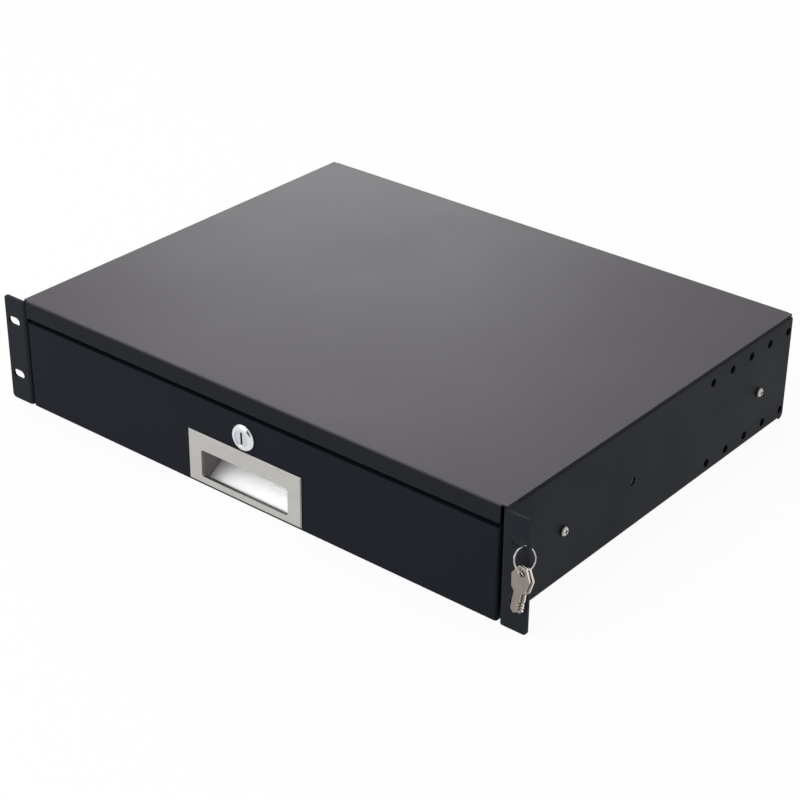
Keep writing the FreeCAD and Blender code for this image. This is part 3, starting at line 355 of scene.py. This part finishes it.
bezel_nickel = plated(
    "bezel_brushed_nickel", metal=(0.54, 0.53, 0.51, 1), shade=(0.44, 0.43, 0.41, 1),
    smooth=0.38, dull=0.48, lines=ALONG_X)
slide_zinc = plated(
    "slide_bright_zinc", metal=(0.66, 0.68, 0.70, 1), shade=(0.50, 0.52, 0.55, 1),
    smooth=0.22, dull=0.36, lines=ALONG_Y, wear=0.4)
cage_zinc = plated(
    "cage_zinc", metal=(0.52, 0.53, 0.55, 1), shade=(0.40, 0.41, 0.43, 1),
    smooth=0.30, dull=0.45, lines=ALONG_Y, wear=0.4)
fastener_zinc = plated(
    "fastener_zinc", metal=(0.60, 0.61, 0.63, 1), shade=(0.45, 0.46, 0.48, 1),
    smooth=0.28, dull=0.40, lines=ALONG_Z, wear=0.5)
pale_zinc = plated(
    "screw_pale_zinc", metal=(0.74, 0.71, 0.60, 1), shade=(0.56, 0.53, 0.42, 1),
    smooth=0.16, dull=0.30, lines=ALONG_Z, wear=0.4)
lock_chrome = plated(
    "lock_chrome", metal=(0.74, 0.76, 0.79, 1), shade=(0.64, 0.66, 0.69, 1),
    smooth=0.04, dull=0.12, lines=ALONG_X, relief=0.000002)
plug_nickel = plated(
    "plug_satin_nickel", metal=(0.64, 0.66, 0.69, 1), shade=(0.48, 0.50, 0.53, 1),
    smooth=0.20, dull=0.30, lines=ALONG_X, wear=0.4)
key_nickel = plated(
    "key_nickel", metal=(0.34, 0.31, 0.29, 1), shade=(0.15, 0.125, 0.10, 1),
    smooth=0.26, dull=0.42, lines=COARSE_ALONG_Z, wear=1.0)
key_edge = plated(
    "key_cut_edge", metal=(0.80, 0.74, 0.69, 1), shade=(0.62, 0.55, 0.48, 1),
    smooth=0.16, dull=0.28, lines=ALONG_Z)
ring_nickel = plated(
    "ring_nickel_wire", metal=(0.48, 0.48, 0.47, 1), shade=(0.32, 0.32, 0.31, 1),
    smooth=0.14, dull=0.24, lines=ALONG_Z)
ball_steel = plated(
    "ball_polished_steel", metal=(0.76, 0.77, 0.79, 1), shade=(0.70, 0.71, 0.73, 1),
    smooth=0.04, dull=0.08, lines=ALONG_Z, relief=0.000001)
print("materials so far:", len(bpy.data.materials))

# %% [markdown]
# ## The plate's edges
# The handle's plate is brushed, and its bevel gets an even, darker colour in place of the streaks: a
# painted shade, so that the lamps draw no white line round the plate. The face looks along Y, so the
# bevel is wherever the normal turns away from Y.

# %% Bevel of the handle's plate
BEVEL_PAINTED_SHADE = (0.26, 0.25, 0.24, 1)
tree = bezel_nickel.node_tree
on_bevel = remap(tree, calculate(tree, "ABSOLUTE", facing(tree, "Y")), 0.80, 0.95, 1.0, 0.0)
recolour(bezel_nickel, on_bevel, BEVEL_PAINTED_SHADE)
print("plate bevel is masked by its normals")

# %% [markdown]
# ## The bright cup
# The finger recess is a shell blasted to a fine silvery satin, so it scatters the room's light instead
# of mirroring it, and looks almost white. High roughness on a pale metal does that. Its two ends see
# only each other and the dark gap behind the plate, so they look almost brown. They are found by their
# normals, which point along X, and get a darker colour: a painted shade.

# %% Cup material
CUP_END_PAINTED_SHADE = (0.23, 0.21, 0.21, 1)
cup_satin = plated(
    "cup_white_satin", metal=(0.99, 0.99, 0.99, 1), shade=(0.97, 0.97, 0.97, 1),
    smooth=0.52, dull=0.62, lines=ALONG_X, relief=0.000002)
tree = cup_satin.node_tree
at_end = remap(tree, calculate(tree, "ABSOLUTE", facing(tree, "X")), 0.55, 0.9, 0.0, 1.0)
recolour(cup_satin, at_end, CUP_END_PAINTED_SHADE)
print("cup ends are masked by their normals")

# %% [markdown]
# ## The screws in the case
# A pan head stands proud of the black case. Its face mirrors the white room, but its flank sees little
# except the dark paint beside it, so the flank gets a dark colour: a painted shade and reflection. The
# same trick as on the cup finds the flank: there the normal turns away from X, the direction that these
# screws point in.

# %% Case screw material
SCREW_FLANK_PAINTED_SHADE = (0.07, 0.068, 0.055, 1)
case_screw_zinc = plated(
    "case_screw_zinc", metal=(0.64, 0.65, 0.61, 1), shade=(0.38, 0.38, 0.34, 1),
    smooth=0.14, dull=0.26, lines=ALONG_Z, wear=0.2)
tree = case_screw_zinc.node_tree
on_flank = remap(tree, calculate(tree, "ABSOLUTE", facing(tree, "X")), 0.50, 0.88, 1.0, 0.0)
recolour(case_screw_zinc, on_flank, SCREW_FLANK_PAINTED_SHADE)
print("screw flanks are masked by their normals")

# %% [markdown]
# ## Moulded plastic
# The bumpers and the release levers are black moulded plastic with a fine matt texture from the mould.

# %% Plastic material
MOULD_TEXTURE = 0.00002
PLASTIC_LIGHTER, PLASTIC_SPECKS = 3.0, 0.3


def moulded(name, colour, smooth, dull):
    """Matt moulded plastic with a fine spark-eroded texture."""
    material, tree, shader = new_material(name)
    skin = use_group(tree, powder_grain, {"Bumps per Metre": 5200.0, "Waves per Metre": 700.0})
    hands = use_group(tree, handling, {"Patches per Metre": 60.0, "Smooth": smooth, "Dull": dull})
    scuffed = use_group(tree, edge_wear, {"Reach": 0.0004, "Amount": 0.5})
    specks = calculate(tree, "MULTIPLY", skin["Specks"], PLASTIC_SPECKS)
    mask = calculate(tree, "MAXIMUM", scuffed["Mask"], specks)
    lighter = lighten(colour, PLASTIC_LIGHTER)
    tree.links.new(blend_colours(tree, mask, colour, lighter), shader.inputs["Base Color"])
    tree.links.new(hands["Roughness"], shader.inputs["Roughness"])
    relief = add_node(tree, "Bump", sockets={
        "Height": skin["Height"], "Distance": MOULD_TEXTURE, "Strength": 0.5})
    tree.links.new(relief.outputs["Normal"], shader.inputs["Normal"])
    return material


black_plastic = moulded("black_moulded_plastic", colour=(0.020, 0.020, 0.021, 1), smooth=0.45, dull=0.60)
print("moulded:", black_plastic.name)

# %% [markdown]
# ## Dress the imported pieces
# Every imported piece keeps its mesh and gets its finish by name. Left and right pieces share one.

# %% Finishes by piece
FINISHES = {
    "side_plate": case_paint,
    "top_cover": cover_paint,
    "lock_strike": case_paint,
    "drawer_tray": drawer_paint,
    "drawer_front": drawer_paint,
    "slide_cabinet_member": slide_zinc,
    "slide_middle_member": slide_zinc,
    "slide_drawer_member": slide_zinc,
    "slide_outer_cage": cage_zinc,
    "slide_inner_cage": cage_zinc,
    "slide_outer_balls": ball_steel,
    "slide_inner_balls": ball_steel,
    "slide_bumper": black_plastic,
    "release_lever": black_plastic,
    "lever_rivet": fastener_zinc,
    "case_screws": case_screw_zinc,
    "tray_screws": pale_zinc,
    "front_screws": pale_zinc,
    "handle_bezel": bezel_nickel,
    "handle_cup": cup_satin,
    "handle_nuts": fastener_zinc,
    "lock_housing": lock_chrome,
    "lock_plug": plug_nickel,
    "lock_cam": fastener_zinc,
    "cam_screw": fastener_zinc,
    "lock_nut": fastener_zinc,
    "key_ring": ring_nickel,
    "key_front": key_nickel,
    "key_rear": key_nickel,
}
for name, piece in nodes.items():
    finish = FINISHES[name.removesuffix("_right").removesuffix("_left")]
    piece.data.materials.clear()
    piece.data.materials.append(finish)
print("dressed", len(nodes), "pieces")

# %% [markdown]
# ## The split ring
# A key ring is a spring: one flattened wire wound twice round, so that a key can be worked in between
# the turns. A torus can't show that. Spinning the wire's section through two full turns, with a small
# step along the axis at each, winds the real coil, and filling its two ends closes it.

# %% Split ring
RING_RADIUS, WIRE_ACROSS, WIRE_THICK = 0.008, 0.00058, 0.00027
RING_TURN, RING_LEAN = math.radians(73.4), math.radians(90 - 20.7)
TURNS, STEPS = 2, 160
ring_low, ring_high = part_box("key_ring")
ring_centre = (ring_low + ring_high) / 2
coil = bmesh.new()
section = bmesh.ops.create_circle(coil, cap_ends=True, segments=12, radius=1.0)["verts"]
bmesh.ops.scale(coil, vec=(WIRE_ACROSS, WIRE_THICK, 1.0), verts=section)
bmesh.ops.rotate(coil, verts=section, cent=(0, 0, 0), matrix=Matrix.Rotation(math.pi / 2, 3, "X"))
bmesh.ops.translate(coil, verts=section, vec=(RING_RADIUS, 0, -WIRE_THICK))
rise = 2 * WIRE_THICK / STEPS
wound = bmesh.ops.spin(
    coil, geom=coil.verts[:] + coil.edges[:], cent=(0, 0, 0), axis=(0, 0, 1), dvec=(0, 0, rise),
    angle=TURNS * 2 * math.pi, steps=STEPS, use_merge=False, use_duplicate=False)
last_loop = [part for part in wound["geom_last"] if isinstance(part, bmesh.types.BMEdge)]
bmesh.ops.edgeloop_fill(coil, edges=last_loop)
bmesh.ops.recalc_face_normals(coil, faces=coil.faces)
turned = Matrix.Rotation(RING_TURN, 4, "Z") @ Matrix.Rotation(RING_LEAN, 4, "X")
bmesh.ops.transform(coil, matrix=Matrix.Translation(ring_centre) @ turned, verts=coil.verts)
for face in coil.faces:
    face.smooth = True
ring_mesh = bpy.data.meshes.new("split_ring")
coil.to_mesh(ring_mesh)
coil.free()
ring_mesh.materials.append(ring_nickel)
split_ring = bpy.data.objects.new("split_ring", ring_mesh)
scene.collection.objects.link(split_ring)
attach(split_ring, "key_ring")
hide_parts("key_ring")
print("split_ring:", len(ring_mesh.polygons), "faces")

# %% [markdown]
# ## Softer edges
# A stamped key has rounded edges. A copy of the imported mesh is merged, its flat faces are joined again,
# and the sharp edges are bevelled by a quarter of a millimetre. The rim that the cutter left on a key is
# brighter than its worn faces, so the faces that turn away from the widest one get a finish of their
# own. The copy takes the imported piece's place in the picture.

# %% Softened copies
MERGE_DISTANCE, KEY_BEVEL = 0.000002, 0.00025
FLAT_ANGLE, SHARP_ANGLE = math.radians(0.5), math.radians(30)
RIM_FACING = 0.8


def soften(name, body, width, edge_finish):
    """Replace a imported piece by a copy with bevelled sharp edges, its rim in a finish of its own."""
    shell = bmesh.new()
    shell.from_mesh(nodes[name].data)
    bmesh.ops.remove_doubles(shell, verts=shell.verts, dist=MERGE_DISTANCE)
    bmesh.ops.dissolve_limit(
        shell, angle_limit=FLAT_ANGLE, verts=shell.verts, edges=shell.edges, delimit=set())
    sharp = [edge for edge in shell.edges if edge.is_manifold and edge.calc_face_angle() > SHARP_ANGLE]
    bmesh.ops.bevel(
        shell, geom=sharp, offset=width, offset_type="OFFSET", segments=2,
        profile=0.5, material=-1, affect="EDGES", clamp_overlap=True)
    mesh = bpy.data.meshes.new(name + "_soft")
    mesh.materials.append(nodes[name].data.materials[0])
    mesh.materials.append(edge_finish)
    widest = max(shell.faces, key=lambda face: face.calc_area()).normal.copy()
    for face in shell.faces:
        face.material_index = int(abs(face.normal.dot(widest)) < RIM_FACING)
    shell.to_mesh(mesh)
    shell.free()
    piece = bpy.data.objects.new(name + "_soft", mesh)
    scene.collection.objects.link(piece)
    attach(piece, body)
    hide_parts(name)
    return piece


soft_pieces = [
    soften("key_front", "key_front", KEY_BEVEL, key_edge),
    soften("key_rear", "key_rear", KEY_BEVEL, key_edge),
]
print("softened:", [piece.name for piece in soft_pieces])

# %% [markdown]
# ## The floor
# The drawer stands on a pale floor. Seen directly, the floor is mostly a plain white glow, so that it
# stays white out to its edges, and the little of it that is matt still takes a faint shadow. Light
# that scatters off the drawer meets only the matt part.

# %% Floor
FLOOR_SIZE, FLOOR_GAP, FLOOR_GLOW = 14.0, 0.0004, 0.94


def seen_directly(tree):
    """1 for a ray from the camera, off a mirror or through glass, and 0 for scattered light."""
    ray = add_node(tree, "LightPath").outputs
    either = calculate(tree, "MAXIMUM", ray["Is Camera Ray"], ray["Is Glossy Ray"])
    return calculate(tree, "MAXIMUM", either, ray["Is Transmission Ray"])


case_bottom = cad_box[0][2]
bpy.ops.mesh.primitive_plane_add(size=FLOOR_SIZE, location=(0, 0, case_bottom - FLOOR_GAP))
floor = bpy.context.object
floor.name = "floor"
floor_paint, tree, shader = new_material("floor_white")
tree.nodes.remove(shader)
matt = add_node(tree, "BsdfDiffuse", sockets={"Color": (0.86, 0.86, 0.86, 1)}).outputs[0]
glow = add_node(tree, "Emission", sockets={"Color": (1, 1, 1, 1), "Strength": 1.0}).outputs[0]
glow_share = calculate(tree, "MULTIPLY", seen_directly(tree), FLOOR_GLOW)
mixed = add_node(tree, "MixShader", sockets={0: glow_share, 1: matt, 2: glow})
tree.links.new(mixed.outputs[0], tree.nodes["Material Output"].inputs["Surface"])
floor.data.materials.append(floor_paint)
print("floor at", round(floor.location.z, 4))

# %% [markdown]
# ## The room
# The room is white to the camera and to mirrors, which is what the bright metal shows, but it lights
# the paint only gently. Polished metal needs something dark to mirror too, or it looks like paper, so
# the room has an unlit doorway at the front that only reflections see.

# %% Room
DOORWAY, DOORWAY_DARK = Vector((0.2, -0.9, 0.3)).normalized(), 0.85
LIGHT_GIVEN, LIGHT_SEEN = 0.5, 1.0
room = bpy.data.worlds.new("white_room")
scene.world = room
room.use_nodes = True
tree = room.node_tree
background = tree.nodes["Background"]
background.inputs["Color"].default_value = (1, 1, 1, 1)
look = add_node(tree, "TexCoord").outputs["Generated"]
towards = add_node(tree, "VectorMath", {"operation": "DOT_PRODUCT"}, {0: look, 1: DOORWAY}).outputs["Value"]
doorway = remap(tree, towards, 0.86, 0.96, 0.0, DOORWAY_DARK)
mirrored = add_node(tree, "LightPath").outputs["Is Glossy Ray"]
white = remap(tree, seen_directly(tree), 0.0, 1.0, LIGHT_GIVEN, LIGHT_SEEN)
strength = calculate(tree, "SUBTRACT", white, calculate(tree, "MULTIPLY", doorway, mirrored))
tree.links.new(strength, background.inputs["Strength"])
print("room", room.name)

# %% [markdown]
# ## The lamps
# A large soft lamp hangs overhead, and a second one stands low behind: it grazes the cover, and its
# sheen is what makes the black top look grey from the front. A third, the largest, stands at the left
# front and lights the drawer's face.

# %% Lamps
def soft_lamp(name, place, aim, width, depth, power):
    """A large area lamp at a place, turned towards a point."""
    lamp_data = bpy.data.lights.new(name, "AREA")
    lamp_data.shape = "RECTANGLE"
    lamp_data.size = width
    lamp_data.size_y = depth
    lamp_data.energy = power
    lamp = bpy.data.objects.new(name, lamp_data)
    away = Vector(place) - Vector(aim)
    lamp.matrix_world = Matrix.Translation(place) @ away.to_track_quat("Z", "Y").to_matrix().to_4x4()
    scene.collection.objects.link(lamp)
    return lamp


CASE_MIDDLE = (0.0, 0.17, 0.0)
lamps = [
    soft_lamp("overhead_lamp", (-0.2, 0.1, 1.9), CASE_MIDDLE, width=1.6, depth=1.6, power=16.0),
    soft_lamp("sheen_lamp", (-1.85, 2.25, 0.85), CASE_MIDDLE, width=1.0, depth=0.7, power=13.0),
    soft_lamp("front_lamp", (-1.1, -1.8, 1.3), CASE_MIDDLE, width=2.4, depth=1.8, power=34.0),
]
print("lamps:", [lamp.name for lamp in lamps])
